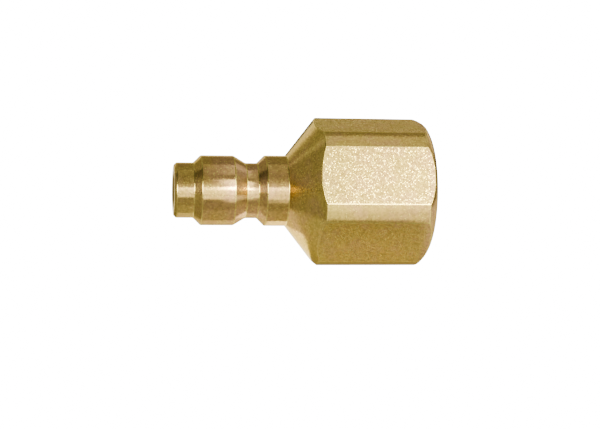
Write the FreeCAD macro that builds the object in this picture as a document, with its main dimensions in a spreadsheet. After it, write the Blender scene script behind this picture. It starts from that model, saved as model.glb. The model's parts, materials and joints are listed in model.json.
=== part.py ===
import FreeCAD, Part
import math
import os
import re
import Sketcher

# Self-sealing quick disconnect plug: a one-piece turned and milled body with a spring-loaded valve
# inside, which is loaded through the female pipe port. Every piece is turned about one axis.
# Stations are distances along that axis, in millimetres, from the nose's face towards the port.

SIZES = {
    # outside of the body
    "total_length": 29.2,
    "nose_radius": 3.165,
    "nose_chamfer": 0.3,
    "nose_end": 2.235,
    "ring_radius": 4.005,
    "ring_end": 6.81,
    "groove_radius": 3.175,
    "groove_taper": 1.4,
    "groove_end": 9.54,
    "collar_radius": 4.06,
    "collar_end": 12.85,
    "cone_length": 3.57,
    "turned_radius": 8.606,
    "across_flats": 15.875,
    "flats_start": 14.0,
    "end_round_start": 28.1,
    "end_round_radius": 3.0,
    "end_face_radius": 7.2,
    # inside of the body
    "mouth_radius": 2.1,
    "bore_radius": 1.8,
    "seat_start": 11.8,
    "chamber_radius": 3.6,
    "guide_shoulder": 16.5,
    "guide_bore_radius": 4.9,
    "clip_groove_start": 17.3,
    "clip_groove_end": 17.95,
    "clip_groove_radius": 5.35,
    "drill_start": 19.7,
    "drill_radius": 5.6,
    "port_mouth_radius": 6.75,
    # valve stem, its seal and the pieces that hold the seal
    "tip_setback": 0.5,
    "tip_chamfer": 0.2,
    "rod_radius": 0.8,
    "land_radius": 1.75,
    "seal_section": 0.55,
    "seal_gap": 0.005,
    "retainer_length": 1.12,
    "retainer_tip_radius": 1.15,
    "retainer_radius": 2.1,
    "retainer_rim": 0.22,
    "backup_radius": 2.85,
    "backup_thickness": 0.3,
    "flange_radius": 3.0,
    "flange_thickness": 0.65,
    "flange_chamfer": 0.15,
    "boss_radius": 1.25,
    "boss_length": 0.5,
    "tail_radius": 0.7,
    "tail_end": 19.65,
    # spring, its guide and the guide's bush
    "spring_wire": 0.4,
    "spring_mean_radius": 1.65,
    "spring_turns": 5,
    "spring_gap": 0.02,
    "guide_radius": 4.85,
    "guide_thickness": 0.8,
    "cup_radius": 2.5,
    "cup_bore_radius": 2.0,
    "cup_floor": 19.0,
    "cup_end": 19.6,
    "flow_hole_radius": 0.85,
    "flow_circle_radius": 3.65,
    "flow_holes": 6,
    "bush_radius": 1.2,
    "bush_bore_radius": 0.74,
    "bush_flange_radius": 1.9,
    "bush_flange": 0.3,
    # internal retaining ring
    "clip_radius": 5.3,
    "clip_inner_radius": 4.3,
    "clip_thickness": 0.6,
    "clip_play": 0.02,
    "clip_gap": 0.9,
    "lug_radius": 0.95,
    "lug_circle_radius": 3.95,
    "lug_angle": 20.0,
    "lug_hole_radius": 0.4,
}

# Stations and sizes that follow from the ones above.
RING_START = "nose_end + ring_radius - nose_radius"
COLLAR_START = "groove_end + collar_radius - groove_radius"
CONE_END = "collar_end + cone_length"
SEAT_END = "seat_start + chamber_radius - bore_radius"
PORT_CHAMFER = "total_length - port_mouth_radius + drill_radius"
SEAL_RADIUS = "land_radius + seal_section + seal_gap"
SEAL_STATION = f"seat_start + {SEAL_RADIUS} - bore_radius + (seal_section + seal_gap) * sqrt(2)"
GLAND_START = f"{SEAL_STATION} - seal_section - 2 * seal_gap"
BACKUP_START = f"{SEAL_STATION} + seal_section + seal_gap"
FLANGE_START = f"{BACKUP_START} + backup_thickness"
FLANGE_END = f"{FLANGE_START} + flange_thickness"
BUSH_FRONT = "cup_floor - bush_flange"
CLIP_START = "clip_groove_start + clip_play"

doc = FreeCAD.newDocument("quick_disconnect_plug")
sheet = doc.addObject("Spreadsheet::Sheet", "sizes")
for row, (alias, value) in enumerate(SIZES.items(), start=1):
    sheet.set(f"A{row}", alias)
    sheet.set(f"B{row}", str(value))
    sheet.setAlias(f"B{row}", alias)
doc.recompute()


def bound(text):
    """The expression with the name of every size turned into its cell."""
    return re.sub(r"[a-z_]+", lambda word: f"sizes.{word[0]}" if word[0] in SIZES else word[0], text)


def number(text):
    return float(sheet.evalExpression(bound(text)))


def new_body(label):
    """A body whose own X axis is the plug's axis, with the nose's face at its origin."""
    body = doc.addObject("PartDesign::Body", label)
    body.Label = label
    body.setExpression("Placement.Base.x", bound("-total_length / 2"))
    body.setExpression("Placement.Base.z", bound("across_flats / 2"))
    return body


def new_sketch(body, name, plane, station=None):
    sketch = body.newObject("Sketcher::SketchObject", name)
    support = next(item for item in body.Origin.OriginFeatures if item.Role == plane)
    sketch.AttachmentSupport = [(support, "")]
    sketch.MapMode = "FlatFace"
    if station:
        sketch.setExpression("AttachmentOffset.Base.z", bound(station))
    return sketch


def place(sketch, element, vertex, across, up):
    """Fix a vertex of a sketch element at two expressions, measured from the sketch's origin."""
    for kind, axis, text in (("DistanceX", -2, across), ("DistanceY", -1, up)):
        if number(text) == 0:
            sketch.addConstraint(Sketcher.Constraint("PointOnObject", element, vertex, axis))
        else:
            value = number(text)
            index = sketch.addConstraint(Sketcher.Constraint(kind, -1, 1, element, vertex, value))
            sketch.setExpression(f"Constraints[{index}]", bound(text))


def arc_between(start, end, radius):
    """A clockwise arc, bulging to the left of the way from start to end."""
    half = (end - start) * 0.5
    sagitta = radius - math.sqrt(radius**2 - half.Length**2)
    left = FreeCAD.Vector(-half.y, half.x, 0).normalize()
    return Part.Arc(start, start + half + left * sagitta, end)


def outline(sketch, corners, arcs=None):
    """A closed outline. arcs gives the radius of each clockwise arc, by the corner that it starts at."""
    arcs = arcs or {}
    points = [FreeCAD.Vector(number(across), number(up), 0) for across, up in corners]
    ends = []
    for i, start in enumerate(points):
        end = points[(i + 1) % len(points)]
        if i in arcs:
            element = sketch.addGeometry(arc_between(start, end, number(arcs[i])), False)
            index = sketch.addConstraint(Sketcher.Constraint("Radius", element, number(arcs[i])))
            sketch.setExpression(f"Constraints[{index}]", bound(arcs[i]))
            ends.append((element, 2, 1))
        else:
            element = sketch.addGeometry(Part.LineSegment(start, end), False)
            ends.append((element, 1, 2))
    for i, (across, up) in enumerate(corners):
        element, first, last = ends[i - 1]
        sketch.addConstraint(Sketcher.Constraint("Coincident", element, last, ends[i][0], ends[i][1]))
        place(sketch, ends[i][0], ends[i][1], across, up)


def circle(sketch, radius, across="0", up="0"):
    centre = FreeCAD.Vector(number(across), number(up), 0)
    element = sketch.addGeometry(Part.Circle(centre, FreeCAD.Vector(0, 0, 1), number(radius)), False)
    index = sketch.addConstraint(Sketcher.Constraint("Radius", element, number(radius)))
    sketch.setExpression(f"Constraints[{index}]", bound(radius))
    if number(across) == 0 and number(up) == 0:
        sketch.addConstraint(Sketcher.Constraint("Coincident", element, 3, -1, 1))
    else:
        place(sketch, element, 3, across, up)


def revolve(body, sketch, name="turned"):
    feature = body.newObject("PartDesign::Revolution", name)
    feature.Profile = sketch
    feature.ReferenceAxis = (sketch, ["H_Axis"])
    feature.Angle = 360
    doc.recompute()
    return feature


def turned(label, corners, arcs=None):
    """A body turned from one half section, whose corners are (station, radius) pairs."""
    body = new_body(label)
    section = new_sketch(body, f"{label}_section", "XZ_Plane")
    outline(section, corners, arcs)
    revolve(body, section)
    return body


def extrude(body, kind, name, sketch, length, towards_port):
    """A pad or pocket along the axis. A pad follows its sketch's normal, and a pocket goes against it."""
    feature = body.newObject(f"PartDesign::{kind}", name)
    feature.Profile = sketch
    feature.setExpression("Length", bound(length))
    feature.Reversed = towards_port != (kind == "Pad")
    doc.recompute()
    return feature


def repeat(body, feature, sketch, name, count):
    """Copies of a feature spaced evenly round the axis."""
    pattern = body.newObject("PartDesign::PolarPattern", name)
    pattern.Originals = [feature]
    pattern.Axis = (sketch, ["N_Axis"])
    pattern.Angle = 360
    pattern.setExpression("Occurrences", count)
    body.Tip = pattern
    doc.recompute()


def make_plug_body():
    outside = [
        ("0", "mouth_radius"),
        ("0", "nose_radius - nose_chamfer"),
        ("nose_chamfer", "nose_radius"),
        ("nose_end", "nose_radius"),
        (RING_START, "ring_radius"),
        ("ring_end", "ring_radius"),
        ("ring_end + groove_taper", "groove_radius"),
        ("groove_end", "groove_radius"),
        (COLLAR_START, "collar_radius"),
        ("collar_end", "collar_radius"),
        (CONE_END, "turned_radius"),
        ("end_round_start", "turned_radius"),
        ("total_length", "end_face_radius"),
    ]
    inside = [
        ("total_length", "port_mouth_radius"),
        (PORT_CHAMFER, "drill_radius"),
        ("drill_start", "drill_radius"),
        ("drill_start", "guide_bore_radius"),
        ("clip_groove_end", "guide_bore_radius"),
        ("clip_groove_end", "clip_groove_radius"),
        ("clip_groove_start", "clip_groove_radius"),
        ("clip_groove_start", "guide_bore_radius"),
        ("guide_shoulder", "guide_bore_radius"),
        ("guide_shoulder", "chamber_radius"),
        (SEAT_END, "chamber_radius"),
        ("seat_start", "bore_radius"),
        ("mouth_radius - bore_radius", "bore_radius"),
    ]
    end_round = {outside.index(("end_round_start", "turned_radius")): "end_round_radius"}
    body = turned("plug_body", outside + inside, end_round)

    # one flat is milled on top, from the port's face to the cone, and repeated for the hexagon
    mill = new_sketch(body, "flat_outline", "YZ_Plane", "total_length")
    flat = "across_flats / 2"
    outline(
        mill,
        [
            ("-turned_radius", flat),
            ("turned_radius", flat),
            ("turned_radius", "turned_radius + 1"),
            ("-turned_radius", "turned_radius + 1"),
        ],
    )
    cut = extrude(body, "Pocket", "flat", mill, "total_length - flats_start", towards_port=False)
    repeat(body, cut, mill, "hexagon", "6")
    return body


def make_valve_stem():
    return turned(
        "valve_stem",
        [
            ("tip_setback", "0"),
            ("tip_setback", "rod_radius - tip_chamfer"),
            ("tip_setback + tip_chamfer", "rod_radius"),
            (GLAND_START, "rod_radius"),
            (GLAND_START, "land_radius"),
            (FLANGE_START, "land_radius"),
            (FLANGE_START, "flange_radius - flange_chamfer"),
            (f"{FLANGE_START} + flange_chamfer", "flange_radius"),
            (FLANGE_END, "flange_radius"),
            (FLANGE_END, "boss_radius"),
            (f"{FLANGE_END} + boss_length", "boss_radius"),
            (f"{FLANGE_END} + boss_length", "tail_radius"),
            ("tail_end - tip_chamfer", "tail_radius"),
            ("tail_end", "tail_radius - tip_chamfer"),
            ("tail_end", "0"),
        ],
    )


def make_seal_retainer():
    front = f"{GLAND_START} - retainer_length"
    return turned(
        "seal_retainer",
        [
            (front, "rod_radius"),
            (front, "retainer_tip_radius"),
            (f"{GLAND_START} - retainer_rim", "retainer_radius"),
            (GLAND_START, "retainer_radius"),
            (GLAND_START, "rod_radius"),
        ],
    )


def make_valve_o_ring():
    body = new_body("valve_o_ring")
    section = new_sketch(body, "o_ring_section", "XZ_Plane")
    circle(section, "seal_section", SEAL_STATION, SEAL_RADIUS)
    revolve(body, section, "moulded")
    return body


def make_backup_ring():
    return turned(
        "backup_ring",
        [
            (BACKUP_START, "land_radius"),
            (BACKUP_START, "backup_radius"),
            (FLANGE_START, "backup_radius"),
            (FLANGE_START, "land_radius"),
        ],
    )


def make_valve_spring():
    """One open-ended helix of round wire between the stem's flange and the bush's flange."""
    body = new_body("valve_spring")
    first = f"{FLANGE_END} + spring_gap + spring_wire / 2"
    last = f"{BUSH_FRONT} - spring_gap - spring_wire / 2"
    wire = new_sketch(body, "wire_section", "XZ_Plane")
    circle(wire, "spring_wire / 2", first, "spring_mean_radius")
    coil = body.newObject("PartDesign::AdditiveHelix", "coil")
    coil.Profile = wire
    coil.ReferenceAxis = (wire, ["H_Axis"])
    coil.Mode = "height-turns-angle"
    coil.setExpression("Height", bound(f"({last}) - ({first})"))
    coil.setExpression("Turns", bound("spring_turns"))
    doc.recompute()
    return body


def make_spring_guide():
    body = turned(
        "spring_guide",
        [
            ("guide_shoulder", "cup_bore_radius"),
            ("guide_shoulder", "guide_radius"),
            ("guide_shoulder + guide_thickness", "guide_radius"),
            ("guide_shoulder + guide_thickness", "cup_radius"),
            ("cup_end", "cup_radius"),
            ("cup_end", "bush_radius"),
            ("cup_floor", "bush_radius"),
            ("cup_floor", "cup_bore_radius"),
        ],
    )
    drill = new_sketch(body, "flow_hole_circle", "YZ_Plane", "guide_shoulder")
    circle(drill, "flow_hole_radius", "flow_circle_radius", "0")
    hole = extrude(body, "Pocket", "flow_hole", drill, "guide_thickness", towards_port=True)
    repeat(body, hole, drill, "flow_holes", bound("flow_holes"))
    return body


def make_guide_bush():
    return turned(
        "guide_bush",
        [
            (BUSH_FRONT, "bush_bore_radius"),
            (BUSH_FRONT, "bush_flange_radius"),
            ("cup_floor", "bush_flange_radius"),
            ("cup_floor", "bush_radius"),
            ("cup_end", "bush_radius"),
            ("cup_end", "bush_bore_radius"),
        ],
    )


def make_retaining_ring():
    """A flat C ring with an eye at each side of its gap, which is at the top."""
    body = new_body("retaining_ring")
    band = new_sketch(body, "band_outline", "YZ_Plane", CLIP_START)
    circle(band, "clip_radius")
    circle(band, "clip_inner_radius")
    extrude(body, "Pad", "band", band, "clip_thickness", towards_port=True)

    across = "lug_circle_radius * sin(lug_angle * 1 deg)"
    up = "lug_circle_radius * cos(lug_angle * 1 deg)"
    lugs = new_sketch(body, "lug_outline", "YZ_Plane", CLIP_START)
    eyes = new_sketch(body, "eye_outline", "YZ_Plane", CLIP_START)
    for side in ("", "-"):
        circle(lugs, "lug_radius", side + across, up)
        circle(eyes, "lug_hole_radius", side + across, up)
    extrude(body, "Pad", "lugs", lugs, "clip_thickness", towards_port=True)
    extrude(body, "Pocket", "eyes", eyes, "clip_thickness", towards_port=True)

    slot = new_sketch(body, "gap_outline", "YZ_Plane", CLIP_START)
    inner = "lug_circle_radius - lug_radius"
    outer = "clip_radius + 1"
    outline(
        slot,
        [
            ("-clip_gap / 2", inner),
            ("clip_gap / 2", inner),
            ("clip_gap / 2", outer),
            ("-clip_gap / 2", outer),
        ],
    )
    extrude(body, "Pocket", "gap", slot, "clip_thickness", towards_port=True)
    return body


pieces = [
    make_plug_body(),
    make_valve_stem(),
    make_seal_retainer(),
    make_valve_o_ring(),
    make_backup_ring(),
    make_valve_spring(),
    make_spring_guide(),
    make_guide_bush(),
    make_retaining_ring(),
]
doc.recompute()

for item in doc.Objects:
    if "Invalid" in item.State or "Error" in item.State:
        raise RuntimeError(f"{item.Label} did not recompute: {item.State}")

os.makedirs("parts", exist_ok=True)
for piece in pieces:
    shape = piece.Shape
    if shape.isNull() or not shape.isValid() or len(shape.Solids) != 1:
        raise RuntimeError(f"{piece.Label} is not one valid solid")
    shape.exportStep(f"parts/{piece.Label}.step")
    box = shape.BoundBox
    print(
        f"{piece.Label}: {shape.Volume:.3f} mm3, X {box.XMin:.2f} to {box.XMax:.2f}, "
        f"Y {box.YMin:.2f} to {box.YMax:.2f}, Z {box.ZMin:.2f} to {box.ZMax:.2f}"
    )
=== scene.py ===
import json
import math

import bmesh
import bpy
from mathutils import Matrix, Vector


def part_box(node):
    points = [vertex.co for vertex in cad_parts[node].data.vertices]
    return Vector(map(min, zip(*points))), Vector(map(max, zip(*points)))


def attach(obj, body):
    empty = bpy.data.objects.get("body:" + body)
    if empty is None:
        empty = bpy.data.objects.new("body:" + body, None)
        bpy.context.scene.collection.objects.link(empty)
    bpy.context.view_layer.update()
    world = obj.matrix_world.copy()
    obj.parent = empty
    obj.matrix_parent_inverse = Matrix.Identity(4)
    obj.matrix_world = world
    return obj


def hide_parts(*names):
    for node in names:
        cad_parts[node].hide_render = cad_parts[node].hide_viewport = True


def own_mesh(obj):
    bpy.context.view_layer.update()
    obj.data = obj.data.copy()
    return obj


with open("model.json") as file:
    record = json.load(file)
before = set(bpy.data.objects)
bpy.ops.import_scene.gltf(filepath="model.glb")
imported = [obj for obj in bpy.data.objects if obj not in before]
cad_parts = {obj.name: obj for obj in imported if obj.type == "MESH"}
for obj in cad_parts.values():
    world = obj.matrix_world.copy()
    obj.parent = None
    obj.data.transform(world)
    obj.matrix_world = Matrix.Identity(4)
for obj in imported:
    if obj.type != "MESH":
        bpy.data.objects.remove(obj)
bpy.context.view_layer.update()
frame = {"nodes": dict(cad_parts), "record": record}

# The plug's axis runs along X. Shapes are drawn in millimetres from the nose's face, along the axis,
# and then brought into the row frame, in metres.
MM = 0.001
BODY_LOW, BODY_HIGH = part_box("plug_body")
NOSE_X = BODY_LOW.x
AXIS_Z = (BODY_LOW.z + BODY_HIGH.z) / 2
LENGTH = (BODY_HIGH.x - BODY_LOW.x) / MM
ACROSS_FLATS = (BODY_HIGH.z - BODY_LOW.z) / MM
MOUNTS = {mount["name"]: mount for mount in frame["record"]["mounts"]}
NOSE_RADIUS = MOUNTS["nose_seal_land"]["dims"]["r_mm"]
RING_RADIUS = MOUNTS["socket_ring"]["dims"]["r_mm"]
GROOVE_RADIUS = MOUNTS["ball_lock_groove"]["dims"]["r_mm"]
DRILL_RADIUS = MOUNTS["port_thread"]["dims"]["r_mm"]
TURNED_RADIUS = (BODY_HIGH.y - BODY_LOW.y) / MM / 2
COLLAR_RADIUS = 4.06

# outside stations and radii
NOSE_CHAMFER = 0.3
NOSE_END = 2.235
RING_END = 6.81
GROOVE_START = 8.21
GROOVE_END = 9.54
COLLAR_END = 12.85
CONE_END = 16.42
END_ROUND_START = 28.1
END_ROUND_RADIUS = 3.0
END_FACE_RADIUS = 7.2
FLATS_START = 14.0

# inside stations and radii
MOUTH_RADIUS, BORE_RADIUS, CHAMBER_RADIUS = 2.1, 1.8, 3.6
SEAT_START, GUIDE_SHOULDER, DRILL_START = 11.8, 16.5, 19.7
GUIDE_BORE_RADIUS, CLIP_GROOVE_RADIUS = 4.9, 5.35
CLIP_GROOVE = (17.3, 17.95)
PORT_MOUTH_RADIUS = 6.75

# 1/4-18 taper pipe thread
THREAD_PITCH = 1.411
THREAD_TAPER = 1 / 32
THREAD_ROOT_RADIUS = 6.66
THREAD_ROOT_FLAT = 0.04
THREAD_FLANK = math.radians(30)
THREAD_START = 20.6
THREAD_STEPS = 120

# how far the cutters reach past what they cut
CUTTER_RADIUS = 12
CUTTER_OVERRUN = 1
THREAD_CUTTER_OVERLAP = 0.1

# valve spring: the wire's radius, how deep its ends are ground, its coils with the closed ends included,
# how much of each end is closed and how much opens out, and how finely it is drawn
SPRING_WIRE = 0.2
SPRING_GROUND = SPRING_WIRE * 0.6
SPRING_TURNS = 6
SPRING_CLOSED_PITCH = 2.04 * SPRING_WIRE
SPRING_CLOSED_TURNS = 0.75
SPRING_OPENING_TURNS = 0.5
SPRING_STEPS = 60
SPRING_SIDES = 16


def to_row(mesh):
    """Bring a mesh drawn in millimetres from the nose's face into the row frame."""
    mesh.transform(Matrix.Translation((NOSE_X, 0, AXIS_Z)) @ Matrix.Scale(MM, 4))


def new_object(name, mesh):
    piece = bpy.data.objects.new(name, mesh)
    bpy.context.scene.collection.objects.link(piece)
    return piece


def mesh_from(shape, name):
    bmesh.ops.recalc_face_normals(shape, faces=shape.faces)
    mesh = bpy.data.meshes.new(name)
    shape.to_mesh(mesh)
    shape.free()
    return mesh


def ring_point(station, radius, angle):
    """A point at an angle about the axis, from +Y towards +Z."""
    return Vector((station, radius * math.cos(angle), radius * math.sin(angle)))


FLAT_DIRECTIONS = [ring_point(0, 1, math.radians(30 + 60 * i)) for i in range(6)]


def join_rings(shape, ring, following):
    """Faces between two rings with the same number of points, all the way round."""
    count = len(ring)
    for i in range(count):
        j = (i + 1) % count
        shape.faces.new((ring[i], ring[j], following[j], following[i]))


def lathe(name, outline, segments=240):
    """A closed outline of (station, radius) points turned about the axis."""
    shape = bmesh.new()
    angles = [2 * math.pi * i / segments for i in range(segments)]
    rings = []
    for station, radius in outline:
        rings.append([shape.verts.new(ring_point(station, radius, angle)) for angle in angles])
    for ring, following in zip(rings, rings[1:] + rings[:1]):
        join_rings(shape, ring, following)
    return new_object(name, mesh_from(shape, name))


def arc(start, end, radius, steps):
    """Points of a clockwise arc from start to end, without the end itself."""
    start, end = Vector(start), Vector(end)
    half = (end - start) / 2
    left = Vector((-half.y, half.x)).normalized()
    centre = start + half - left * math.sqrt(radius**2 - half.length**2)
    first = math.atan2(*(start - centre).yx)
    last = math.atan2(*(end - centre).yx)
    turns = [first + (last - first) * i / steps for i in range(steps)]
    return [(centre.x + radius * math.cos(t), centre.y + radius * math.sin(t)) for t in turns]


def hexagon_cutter():
    """What the milling removes: everything outside the hexagon, from the cone to beyond the port."""
    shape = bmesh.new()
    corner_radius = ACROSS_FLATS / math.sqrt(3)
    corner_angles = [math.pi / 3 * i for i in range(6)]
    rings = []
    for radius in (CUTTER_RADIUS, corner_radius):
        for station in (FLATS_START, LENGTH + CUTTER_OVERRUN):
            rings.append([shape.verts.new(ring_point(station, radius, angle)) for angle in corner_angles])
    outer_front, outer_back, inner_front, inner_back = rings
    join_rings(shape, outer_front, outer_back)
    join_rings(shape, outer_back, inner_back)
    join_rings(shape, inner_back, inner_front)
    join_rings(shape, inner_front, outer_front)
    return new_object("hexagon_cutter", mesh_from(shape, "hexagon_cutter"))


def thread_cutter():
    """A V-shaped ridge wound on a cone, right-handed, from inside the port out past its mouth."""
    shape = bmesh.new()
    turns = (LENGTH + THREAD_PITCH - THREAD_START) / THREAD_PITCH
    steps = int(THREAD_STEPS * turns)
    run_out = THREAD_STEPS // 2
    first_depth = 0.05
    inner_radius = DRILL_RADIUS - THREAD_CUTTER_OVERLAP
    half_root = THREAD_ROOT_FLAT / 2
    sections = []
    for step in range(steps + 1):
        angle = 2 * math.pi * step / THREAD_STEPS
        station = THREAD_START + THREAD_PITCH * step / THREAD_STEPS
        full_root = THREAD_ROOT_RADIUS - (LENGTH - station) * THREAD_TAPER
        depth = (full_root - inner_radius) * min(1, first_depth + step / run_out)
        root = inner_radius + depth
        half_crest = half_root + depth * math.tan(THREAD_FLANK)
        corners = (
            (station - half_crest, inner_radius),
            (station - half_root, root),
            (station + half_root, root),
            (station + half_crest, inner_radius),
        )
        sections.append([shape.verts.new(ring_point(x, r, angle)) for x, r in corners])
    for section, following in zip(sections, sections[1:]):
        join_rings(shape, section, following)
    shape.faces.new(sections[0])
    shape.faces.new(sections[-1])
    return new_object("thread_cutter", mesh_from(shape, "thread_cutter"))


def apply_modifiers(piece):
    """Replace the piece's mesh with what its modifiers make of it."""
    evaluated = piece.evaluated_get(bpy.context.evaluated_depsgraph_get())
    mesh = bpy.data.meshes.new_from_object(evaluated)
    piece.modifiers.clear()
    piece.data = mesh


def cut_away(piece, cutter):
    """Take the cutter's shape out of the piece, and remove the cutter."""
    cut = piece.modifiers.new("cut", "BOOLEAN")
    cut.operation = "DIFFERENCE"
    cut.solver = "EXACT"
    cut.object = cutter
    apply_modifiers(piece)
    bpy.data.objects.remove(cutter)


def soften_edges(piece, width, slot, angle=15, segments=2):
    """Break every edge sharper than the angle, as tumbling does, in a material slot of its own."""
    bevel = piece.modifiers.new("edge_break", "BEVEL")
    bevel.material = slot
    bevel.use_clamp_overlap = False
    bevel.width = width
    bevel.segments = segments
    bevel.limit_method = "ANGLE"
    bevel.angle_limit = math.radians(angle)
    apply_modifiers(piece)


def merge_slivers(piece, distance):
    """Close up the needle-thin faces that cutting leaves, up to distance millimetres wide."""
    shape = bmesh.new()
    shape.from_mesh(piece.data)
    bmesh.ops.remove_doubles(shape, verts=shape.verts, dist=distance)
    bmesh.ops.dissolve_degenerate(shape, edges=shape.edges, dist=distance)
    shape.to_mesh(piece.data)
    shape.free()


def press_onto_flats(piece):
    """Bring points that an edge break pushed past a flat back onto it."""
    for outward in FLAT_DIRECTIONS:
        for point in piece.data.vertices:
            excess = outward.dot(point.co) - ACROSS_FLATS / 2
            if excess > 0:
                point.co -= outward * excess


def smooth_shading(piece, angle=40):
    piece.data.shade_smooth()
    piece.data.set_sharp_from_angle(angle=math.radians(angle))
    weighted = piece.modifiers.new("weighted_normals", "WEIGHTED_NORMAL")
    weighted.keep_sharp = True


# material slots of the plug body
TURNED, MILLED, BORE, RUBBED_PAINTED_HIGHLIGHT = range(4)


def make_plug_body():
    port_chamfer = LENGTH - (PORT_MOUTH_RADIUS - DRILL_RADIUS)
    end_round = arc(
        (END_ROUND_START, TURNED_RADIUS), (LENGTH, END_FACE_RADIUS), END_ROUND_RADIUS, steps=8
    )
    outline = [
        (0, MOUTH_RADIUS),
        (0, NOSE_RADIUS - NOSE_CHAMFER),
        (NOSE_CHAMFER, NOSE_RADIUS),
        (NOSE_END, NOSE_RADIUS),
        (NOSE_END + RING_RADIUS - NOSE_RADIUS, RING_RADIUS),
        (RING_END, RING_RADIUS),
        (GROOVE_START, GROOVE_RADIUS),
        (GROOVE_END, GROOVE_RADIUS),
        (GROOVE_END + COLLAR_RADIUS - GROOVE_RADIUS, COLLAR_RADIUS),
        (COLLAR_END, COLLAR_RADIUS),
        (CONE_END, TURNED_RADIUS),
        *end_round,
        (LENGTH, END_FACE_RADIUS),
        (LENGTH, PORT_MOUTH_RADIUS),
        (port_chamfer, DRILL_RADIUS),
        (DRILL_START, DRILL_RADIUS),
        (DRILL_START, GUIDE_BORE_RADIUS),
        (CLIP_GROOVE[1], GUIDE_BORE_RADIUS),
        (CLIP_GROOVE[1], CLIP_GROOVE_RADIUS),
        (CLIP_GROOVE[0], CLIP_GROOVE_RADIUS),
        (CLIP_GROOVE[0], GUIDE_BORE_RADIUS),
        (GUIDE_SHOULDER, GUIDE_BORE_RADIUS),
        (GUIDE_SHOULDER, CHAMBER_RADIUS),
        (SEAT_START + CHAMBER_RADIUS - BORE_RADIUS, CHAMBER_RADIUS),
        (SEAT_START, BORE_RADIUS),
        (MOUTH_RADIUS - BORE_RADIUS, BORE_RADIUS),
    ]
    body = lathe("plug_body_machined", outline)
    for material in (turned_zinc(), milled_zinc(), bore_zinc(), rubbed_zinc_painted_highlight()):
        body.data.materials.append(material)
    cut_away(body, hexagon_cutter())
    merge_slivers(body, distance=0.05)
    soften_edges(body, width=0.09, slot=RUBBED_PAINTED_HIGHLIGHT)
    press_onto_flats(body)
    cut_away(body, thread_cutter())
    merge_slivers(body, distance=0.001)
    to_row(body.data)
    smooth_shading(body)
    return body


def make_valve_spring():
    """Round wire wound on a cylinder, with a closed coil ground flat at each end."""
    low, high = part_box("valve_spring")
    front, back = (low.x - NOSE_X) / MM, (high.x - NOSE_X) / MM
    mean_radius = (high.y - low.y) / MM / 2 - SPRING_WIRE
    steps = SPRING_TURNS * SPRING_STEPS
    opening = []
    for i in range(steps):
        turns_from_end = min(i, steps - i) / SPRING_STEPS
        opened = (turns_from_end - SPRING_CLOSED_TURNS) / SPRING_OPENING_TURNS
        opening.append(min(1, max(0, opened)))
    closed_rise = SPRING_CLOSED_PITCH / SPRING_STEPS
    end_inset = SPRING_WIRE - SPRING_GROUND
    open_rise = (back - front - 2 * end_inset - closed_rise * steps) / sum(opening)
    station = front + end_inset
    shape = bmesh.new()
    rings = []
    for i in range(steps + 1):
        turn = 2 * math.pi * i / SPRING_STEPS
        ring = []
        for k in range(SPRING_SIDES):
            around = 2 * math.pi * k / SPRING_SIDES
            along = station + SPRING_WIRE * math.cos(around)
            ground = min(max(along, front), back)
            radius = mean_radius + SPRING_WIRE * math.sin(around)
            ring.append(shape.verts.new(ring_point(ground, radius, turn)))
        rings.append(ring)
        if i < steps:
            station += closed_rise + open_rise * opening[i]
    for ring, following in zip(rings, rings[1:]):
        join_rings(shape, ring, following)
    shape.faces.new(rings[0])
    shape.faces.new(rings[-1])
    spring = new_object("valve_spring_coils", mesh_from(shape, "valve_spring_coils"))
    to_row(spring.data)
    smooth_shading(spring)
    return spring


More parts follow.
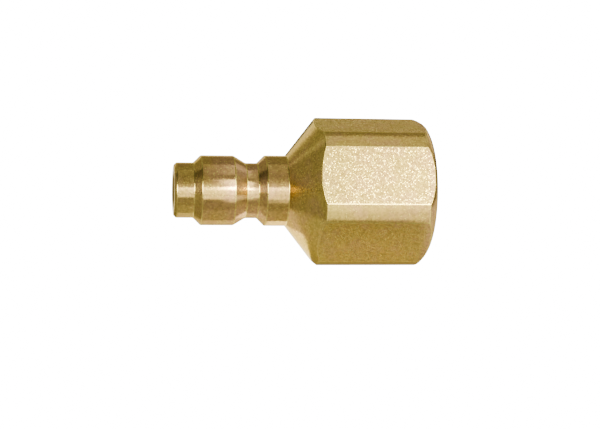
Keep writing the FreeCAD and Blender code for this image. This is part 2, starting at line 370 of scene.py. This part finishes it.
class Finish:
    """A material whose colour, roughness and relief come from procedural nodes in object space."""

    def __init__(self, name, **inputs):
        self.material = bpy.data.materials.new(name)
        self.material.use_nodes = True
        tree = self.material.node_tree
        self.nodes, self.links = tree.nodes, tree.links
        self.nodes.clear()
        self.place = self.node("ShaderNodeTexCoord").outputs["Object"]
        self.normal = self.node("ShaderNodeNewGeometry").outputs["Normal"]
        self.shader = self.node("ShaderNodeBsdfPrincipled", inputs)
        self.output = self.node("ShaderNodeOutputMaterial", {"Surface": self.shader.outputs["BSDF"]})

    def node(self, kind, inputs=None, **settings):
        """A new node. Each input is a value, or an output of another node to be linked."""
        made = self.nodes.new(kind)
        for key, value in settings.items():
            setattr(made, key, value)
        for key, value in (inputs or {}).items():
            self.feed(made.inputs[key], value)
        return made

    def feed(self, socket, value):
        if isinstance(value, bpy.types.NodeSocket):
            self.links.new(value, socket)
        else:
            socket.default_value = value

    def surface(self, **inputs):
        """Set the shader's inputs, named as in Blender but in lower case with underscores."""
        for key, value in inputs.items():
            self.feed(self.shader.inputs[key.replace("_", " ").title()], value)

    def noise(self, size, detail=2, stretch=(1, 1, 1)):
        """Soft mottling whose blotches are about size millimetres across."""
        stretched = self.vector("MULTIPLY", self.place, stretch)
        inputs = {"Vector": stretched, "Scale": 1 / (size * MM), "Detail": detail}
        return self.node("ShaderNodeTexNoise", inputs).outputs["Fac"]

    def grains(self, size):
        """A random colour for each grain, size millimetres across, and the distance to its middle."""
        inputs = {"Vector": self.place, "Scale": 1 / (size * MM)}
        cells = self.node("ShaderNodeTexVoronoi", inputs)
        return cells.outputs["Color"], cells.outputs["Distance"]

    def ramp(self, factor, *stops):
        """Colours or greys placed along the factor, as (position, colour) stops."""
        made = self.node("ShaderNodeValToRGB", {"Fac": factor})
        elements = made.color_ramp.elements
        elements.remove(elements[1])
        for i, (position, colour) in enumerate(stops):
            element = elements[0] if i == 0 else elements.new(position)
            element.position = position
            element.color = (*colour, 1) if isinstance(colour, tuple) else (colour, colour, colour, 1)
        return made.outputs["Color"]

    def mix(self, factor, first, second, blend="MIX"):
        made = self.node("ShaderNodeMix", data_type="RGBA", blend_type=blend)
        colour_sockets = (made.inputs[0], made.inputs[6], made.inputs[7])
        for socket, value in zip(colour_sockets, (factor, first, second)):
            self.feed(socket, (*value, 1) if isinstance(value, tuple) else value)
        return made.outputs[2]

    def maths(self, operation, first, second):
        made = self.node("ShaderNodeMath", {0: first, 1: second}, operation=operation)
        return made.outputs[0]

    def vector(self, operation, first, second):
        made = self.node("ShaderNodeVectorMath", {0: first, 1: second}, operation=operation)
        return made.outputs["Vector"]

    def between(self, factor, low, high):
        """A value that goes from low to high as the factor goes from 0 to 1."""
        inputs = {"Value": factor, "To Min": low, "To Max": high}
        return self.node("ShaderNodeMapRange", inputs).outputs["Result"]

    def specks(self, size, share):
        """A mask of separate round specks in a share of the grains, those that facets() tips down, to be
        painted lighter as a painted glint.
        """
        colours, distance = self.grains(size)
        grain = self.node("ShaderNodeSeparateXYZ", {"Vector": colours}).outputs["Z"]
        chosen = self.maths("LESS_THAN", grain, share)
        inputs = {"Value": distance, "From Min": 0.6, "From Max": 0.4}
        rounded = self.node("ShaderNodeMapRange", inputs).outputs["Result"]
        return self.maths("MULTIPLY", chosen, rounded)

    def facets(self, size, tilt):
        """The surface's normal, tipped a little its own way in each grain, and least along the axis."""
        lean = self.vector("SUBTRACT", self.grains(size)[0], (0.5, 0.5, 0.5))
        lean = self.vector("MULTIPLY", lean, (0.4, 1, 1))
        scaled = self.node("ShaderNodeVectorMath", {0: lean, "Scale": tilt}, operation="SCALE")
        tipped = self.vector("ADD", self.normal, scaled.outputs["Vector"])
        return self.node("ShaderNodeVectorMath", {0: tipped}, operation="NORMALIZE").outputs["Vector"]

    def relief(self, height, depth, normal=None):
        """Bumps of depth millimetres from the lowest to the highest height."""
        inputs = {"Height": height, "Distance": depth * MM, "Strength": 1}
        if normal:
            inputs["Normal"] = normal
        return self.node("ShaderNodeBump", inputs).outputs["Normal"]


# colours of the plating, and the tint that it takes on where it is seen at a grazing angle
ZINC = (0.81, 0.60, 0.23)
ZINC_BROWN = (0.80, 0.56, 0.235)
ZINC_ROSY = (0.84, 0.56, 0.31)
ZINC_OLIVE = (0.78, 0.63, 0.215)
# a lighter gold for the tipped grains and the broken edges: a painted highlight
ZINC_PAINTED_HIGHLIGHT = (0.94, 0.79, 0.29)
ZINC_GRAZING = (0.93, 0.85, 0.62, 1)


def zinc_colour(finish):
    """Yellow chromate over zinc: gold, going to rose and olive from feature to feature and in blotches."""
    along = finish.node("ShaderNodeSeparateXYZ", {"Vector": finish.place}).outputs["X"]
    inputs = {"Value": along, "From Min": BODY_LOW.x, "From Max": BODY_HIGH.x}
    share_of_length = finish.node("ShaderNodeMapRange", inputs).outputs["Result"]
    features = finish.ramp(
        share_of_length,
        (NOSE_END / LENGTH, ZINC),
        (0.15, ZINC_BROWN),
        (RING_END / LENGTH, ZINC_ROSY),
        (COLLAR_END / LENGTH, ZINC_BROWN),
        (CONE_END / LENGTH, ZINC_OLIVE),
        (0.65, ZINC),
        (0.95, ZINC),
        (0.97, ZINC_ROSY),
    )
    drift = finish.noise(size=2, detail=4)
    blotches = finish.ramp(drift, (0.38, ZINC_ROSY), (0.5, ZINC), (0.62, ZINC_OLIVE))
    plating = finish.mix(0.35, features, blotches)
    mottling = finish.ramp(finish.noise(size=0.35, detail=4), (0.35, 0.84), (0.6, 1))
    return finish.mix(1, plating, mottling, "MULTIPLY")


def turned_zinc():
    """Plated turned steel: fine rings round the axis, which spread a gloss along it, and a few specks
    painted lighter: a painted glint.
    """
    finish = Finish("zinc_turned", Metallic=1)
    rings = finish.noise(size=0.16, detail=2, stretch=(1, 0.02, 0.02))
    axial = finish.node("ShaderNodeTangent", direction_type="RADIAL", axis="X")
    # the specks take a lighter gold: a painted glint
    finish.surface(
        base_color=finish.mix(finish.specks(size=0.13, share=0.1), zinc_colour(finish), ZINC_PAINTED_HIGHLIGHT),
        specular_tint=ZINC_GRAZING,
        roughness=finish.between(finish.noise(size=0.25), 0.17, 0.23),
        anisotropic=0.7,
        anisotropic_rotation=0.25,
        tangent=axial.outputs["Tangent"],
        normal=finish.relief(rings, 0.002, finish.facets(size=0.13, tilt=0.03)),
    )
    return finish.material


def milled_zinc():
    """Plated milled flats: frosted, with smooth grains that glint one by one and are painted lighter too:
    a painted glint.
    """
    finish = Finish("zinc_milled", Metallic=1)
    glints = finish.specks(size=0.12, share=0.24)
    # the glinting grains also take a lighter gold: a painted glint
    finish.surface(
        base_color=finish.mix(glints, zinc_colour(finish), ZINC_PAINTED_HIGHLIGHT),
        specular_tint=ZINC_GRAZING,
        roughness=finish.between(glints, 0.36, 0.24),
        normal=finish.facets(size=0.12, tilt=finish.between(glints, 0.12, 0.4)),
    )
    return finish.material


def rubbed_zinc_painted_highlight():
    """Plating on the broken edges: smoother where tumbling has rubbed it, and lighter, partly from rubbing
    and partly as a painted highlight.
    """
    finish = Finish("zinc_rubbed_painted_highlight", Metallic=1)
    rubs_and_painted_highlight = finish.noise(size=0.3, detail=3)
    # the lighter gold along the edges is partly rubbed plating and partly a painted highlight
    finish.surface(
        base_color=finish.ramp(rubs_and_painted_highlight, (0.35, ZINC), (0.65, ZINC_PAINTED_HIGHLIGHT)),
        specular_tint=ZINC_GRAZING,
        roughness=finish.between(rubs_and_painted_highlight, 0.3, 0.18),
    )
    return finish.material


def bore_zinc():
    """Plating deep in the bores and the thread: duller and browner."""
    finish = Finish("zinc_bore", Metallic=1)
    dirt = finish.noise(size=1.5)
    finish.surface(
        base_color=finish.ramp(dirt, (0.3, (0.50, 0.36, 0.14)), (0.7, (0.60, 0.47, 0.20))),
        roughness=finish.between(finish.noise(size=0.5), 0.3, 0.45),
    )
    return finish.material


def turned_metal(name, darker, lighter):
    """Bare turned metal: fine rings round the axis, and faint stains of handling oil."""
    finish = Finish(name, Metallic=1)
    rings = finish.noise(size=0.12, stretch=(1, 0.02, 0.02))
    stains = finish.noise(size=1.1, detail=3)
    axial = finish.node("ShaderNodeTangent", direction_type="RADIAL", axis="X")
    finish.surface(
        base_color=finish.ramp(stains, (0.35, darker), (0.6, lighter)),
        roughness=finish.between(stains, 0.34, 0.2),
        anisotropic=0.5,
        anisotropic_rotation=0.25,
        tangent=axial.outputs["Tangent"],
        normal=finish.relief(rings, 0.002),
    )
    return finish.material


def moulded_rubber():
    """Black nitrile with a faint mould texture and a trace of grease."""
    finish = Finish("nitrile_moulded")
    grease = finish.noise(size=0.8)
    finish.surface(
        base_color=finish.ramp(grease, (0.35, (0.018, 0.018, 0.019)), (0.65, (0.035, 0.034, 0.033))),
        roughness=finish.between(grease, 0.6, 0.38),
        normal=finish.relief(finish.noise(size=0.06), 0.003),
    )
    return finish.material


def waxy_ptfe(name):
    """White PTFE, cut on a lathe: slightly translucent, with soft tool rings."""
    finish = Finish(name)
    rings = finish.noise(size=0.15, stretch=(1, 0.05, 0.05))
    clouds = finish.noise(size=0.9)
    finish.surface(
        base_color=finish.ramp(clouds, (0.3, (0.76, 0.75, 0.71)), (0.7, (0.86, 0.855, 0.83))),
        roughness=finish.between(rings, 0.3, 0.45),
        subsurface_weight=0.15,
        subsurface_radius=(0.0004, 0.0004, 0.0004),
        normal=finish.relief(rings, 0.002),
    )
    return finish.material


def stamped_spring_steel():
    """Phosphated spring steel strip: dark grey, finely grained, rubbed brighter in patches."""
    finish = Finish("spring_steel_stamped", Metallic=1)
    rubbed = finish.noise(size=1.0, detail=4)
    finish.surface(
        base_color=finish.ramp(rubbed, (0.4, (0.20, 0.20, 0.21)), (0.68, (0.42, 0.42, 0.43))),
        roughness=finish.between(rubbed, 0.5, 0.3),
        normal=finish.relief(finish.noise(size=0.05, detail=3), 0.004),
    )
    return finish.material


def drawn_wire():
    """Drawn spring wire: bright grey with darker oily patches."""
    finish = Finish("spring_steel_wire", Metallic=1)
    oil = finish.noise(size=0.5, detail=3)
    finish.surface(
        base_color=finish.ramp(oil, (0.35, (0.30, 0.30, 0.31)), (0.65, (0.52, 0.52, 0.53))),
        roughness=finish.between(oil, 0.36, 0.2),
        normal=finish.relief(finish.noise(size=0.05), 0.002),
    )
    return finish.material


def is_inside(face, away):
    """Whether a face is on a wall of the bores or the thread: near the axis, and looking back at it."""
    return away.length < END_FACE_RADIUS * MM and face.normal.dot(away) < -0.1 * away.length


def is_on_flat(face, away):
    """Whether a face lies on one of the hexagon's flats, to 0.01 mm and about 2.5 degrees."""
    for outward in FLAT_DIRECTIONS:
        if outward.dot(face.normal) > 0.999 and away.dot(outward) > (ACROSS_FLATS / 2 - 0.01) * MM:
            return True
    return False


def finish_faces(body):
    """Give each face of the plug body its finish. The broken edges outside already have theirs."""
    for face in body.data.polygons:
        away = Vector((0, face.center.y, face.center.z - AXIS_Z))
        if is_inside(face, away):
            face.material_index = BORE
        elif face.material_index == RUBBED_PAINTED_HIGHLIGHT:
            continue
        elif is_on_flat(face, away):
            face.material_index = MILLED
        else:
            face.material_index = TURNED


body = make_plug_body()
finish_faces(body)
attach(body, "plug")
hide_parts("plug_body")

spring = make_valve_spring()
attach(spring, "plug")
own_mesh(spring)
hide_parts("valve_spring")
spring.data.materials.append(drawn_wire())

INNER_FINISHES = {
    "valve_stem": turned_metal("stainless_turned", (0.60, 0.585, 0.555), (0.69, 0.68, 0.66)),
    "seal_retainer": turned_metal("brass_retainer", (0.68, 0.47, 0.19), (0.80, 0.60, 0.28)),
    "spring_guide": turned_metal("brass_guide", (0.66, 0.45, 0.18), (0.80, 0.60, 0.28)),
    "valve_o_ring": moulded_rubber(),
    "backup_ring": waxy_ptfe("ptfe_backup"),
    "guide_bush": waxy_ptfe("ptfe_bush"),
    "retaining_ring": stamped_spring_steel(),
}
for name, material in INNER_FINISHES.items():
    frame["nodes"][name].material_slots[0].material = material

# Seen directly, the floor and the space behind it are lit to white. They light the plug far less.
STUDIO_WHITE = 3.2
STUDIO_AMBIENT = 0.12
FLOOR_SIZE = 4
FLOOR_GREY = 0.35


def lit_white(finish, unlit, output):
    """Add a glow that only the camera sees to a shader, and send both to the output."""
    glow = finish.node("ShaderNodeEmission", {"Strength": STUDIO_WHITE})
    brighter = finish.node("ShaderNodeAddShader", {0: unlit, 1: glow.outputs["Emission"]})
    seen = finish.node("ShaderNodeLightPath").outputs["Is Camera Ray"]
    choice = finish.node("ShaderNodeMixShader", {0: seen, 1: unlit, 2: brighter.outputs["Shader"]})
    finish.feed(output.inputs["Surface"], choice.outputs["Shader"])


# floor
bpy.ops.mesh.primitive_plane_add(size=FLOOR_SIZE, location=(0, 0, BODY_LOW.z))
floor = bpy.context.object
floor.name = "floor"
paper = Finish("floor", Roughness=0.8)
paper.surface(base_color=(FLOOR_GREY, FLOOR_GREY, FLOOR_GREY, 1))
lit_white(paper, paper.shader.outputs["BSDF"], paper.output)
floor.data.materials.append(paper.material)

# camera
CAMERA_AZIMUTH = math.radians(-9.173)
CAMERA_ELEVATION = math.radians(17.5)
CAMERA_ROLL = math.radians(3.045)
CAMERA_DISTANCE = 149.7 * MM
CAMERA_LENS = 77.52
CAMERA_SENSOR = 36
AIM_ALONG_AXIS = 0.4 * MM
AIM_RIGHT = -0.357 * MM
AIM_UP = -2.726 * MM


def direction(azimuth, elevation):
    """Unit vector towards a viewer. Azimuth 0 is a viewer at -Y, and 90 one at +X."""
    flat = math.cos(elevation)
    return Vector((math.sin(azimuth) * flat, -math.cos(azimuth) * flat, math.sin(elevation)))


back = direction(CAMERA_AZIMUTH, CAMERA_ELEVATION)
level_right = (-back).cross(Vector((0, 0, 1))).normalized()
level_up = level_right.cross(-back)
right = level_right * math.cos(CAMERA_ROLL) + level_up * math.sin(CAMERA_ROLL)
up = level_up * math.cos(CAMERA_ROLL) - level_right * math.sin(CAMERA_ROLL)
centre = (BODY_LOW + BODY_HIGH) / 2 + Vector((AIM_ALONG_AXIS, 0, 0))
camera = bpy.data.objects.new("camera", bpy.data.cameras.new("camera"))
camera.data.sensor_width = CAMERA_SENSOR
camera.data.lens = CAMERA_LENS
camera.data.clip_start = 5 * MM
rotation = Matrix((right, up, back)).transposed().to_4x4()
place = centre + back * CAMERA_DISTANCE + right * AIM_RIGHT + up * AIM_UP
camera.matrix_world = Matrix.Translation(place) @ rotation
bpy.context.scene.collection.objects.link(camera)
bpy.context.scene.camera = camera


# studio light
LIGHT_DISTANCE = 600 * MM
LIGHT_POWER = 4
FLOOR_GLOW_HEIGHT = 0.05 * MM


def add_light(name, size, brightness):
    """A rectangular light of a given brightness, which is hidden from the camera itself."""
    lamp = bpy.data.lights.new(name, "AREA")
    lamp.shape = "RECTANGLE"
    lamp.size, lamp.size_y = size
    lamp.energy = LIGHT_POWER * brightness * lamp.size * lamp.size_y
    light = bpy.data.objects.new(name, lamp)
    light.visible_camera = False
    bpy.context.scene.collection.objects.link(light)
    return light


def soft_box(name, azimuth, elevation, brightness):
    """A light that fills a range of azimuths and elevations as the plug sees them."""
    spans = [math.radians(high - low) for low, high in (azimuth, elevation)]
    light = add_light(name, [2 * LIGHT_DISTANCE * math.tan(span / 2) for span in spans], brightness)
    towards = direction(math.radians(sum(azimuth) / 2), math.radians(sum(elevation) / 2))
    light.location = centre + towards * LIGHT_DISTANCE
    light.rotation_euler = towards.to_track_quat("Z", "Y").to_euler()


def floor_glow(name, across, ahead, brightness):
    """Light that a patch of floor throws back up: its range of x, and of distance in front, in mm."""
    size = [(across[1] - across[0]) * MM, (ahead[1] - ahead[0]) * MM]
    light = add_light(name, size, brightness)
    light.location = (sum(across) / 2 * MM, -sum(ahead) / 2 * MM, BODY_LOW.z + FLOOR_GLOW_HEIGHT)
    light.rotation_euler = (math.pi, 0, 0)


# each light's azimuths and elevations in degrees, and its brightness
soft_box("middle_0", (-20, 10), (0, 9), 0.8)
soft_box("middle_9", (-20, 10), (9, 18), 0.85)
soft_box("middle_18", (-20, 10), (18, 27), 1.1)
soft_box("right_0", (10, 42), (0, 9), 1.2)
soft_box("right_9", (10, 42), (9, 18), 0.95)
soft_box("right_18", (10, 42), (18, 27), 6.5)
soft_box("key", (14, 46), (27, 52), 1.15)
soft_box("above_middle", (-20, 14), (27, 42), 0.3)
soft_box("high_middle", (-20, 14), (42, 70), 0.17)
soft_box("side_right", (42, 130), (0, 60), 0.2)
soft_box("left", (-130, -60), (0, 30), 0.13)
soft_box("overhead", (70, 110), (71, 82), 0.4)
soft_box("overhead_middle", (70, 110), (82, 100), 0.22)
soft_box("edge_left", (-60, -30), (5, 30), 3)
soft_box("back_low", (130, 230), (0, 15), 0.5)
soft_box("back_high", (130, 230), (15, 70), 0.12)
# each patch's reach across and ahead in millimetres, and its brightness
floor_glow("floor_under", (-15, 15), (2, 9), 0.16)
floor_glow("floor_under_shank", (-15, -4), (-9, 2), 0.36)
floor_glow("floor_under_hexagon", (-4, 15), (-9, 2), 0.83)
floor_glow("floor_front", (-15, 15), (9, 22), 0.08)
floor_glow("floor_near", (-6, 40), (22, 40), 0.45)
floor_glow("floor_far", (-60, 80), (40, 500), 0.6)
floor_glow("floor_behind", (-15, 15), (-60, -9), 1)
floor_glow("floor_behind_nose", (-30, -15), (-60, -9), 0.5)
floor_glow("floor_left", (-500, -15), (-40, 40), 0.07)
floor_glow("floor_right", (15, 60), (-40, 22), 0.3)

world = bpy.data.worlds.new("world")
bpy.context.scene.world = world
world.use_nodes = True
world_nodes = world.node_tree.nodes
ambient = world_nodes["Background"]
ambient.inputs["Color"].default_value = (1, 1, 1, 1)
seen = world_nodes.new("ShaderNodeLightPath").outputs["Is Camera Ray"]
strength = world_nodes.new("ShaderNodeMapRange")
strength.inputs["To Min"].default_value = STUDIO_AMBIENT
strength.inputs["To Max"].default_value = STUDIO_WHITE + STUDIO_AMBIENT
world.node_tree.links.new(seen, strength.inputs["Value"])
world.node_tree.links.new(strength.outputs["Result"], ambient.inputs["Strength"])
bpy.context.scene.view_settings.view_transform = "AgX"
bpy.context.scene.view_settings.look = "AgX - Very High Contrast"
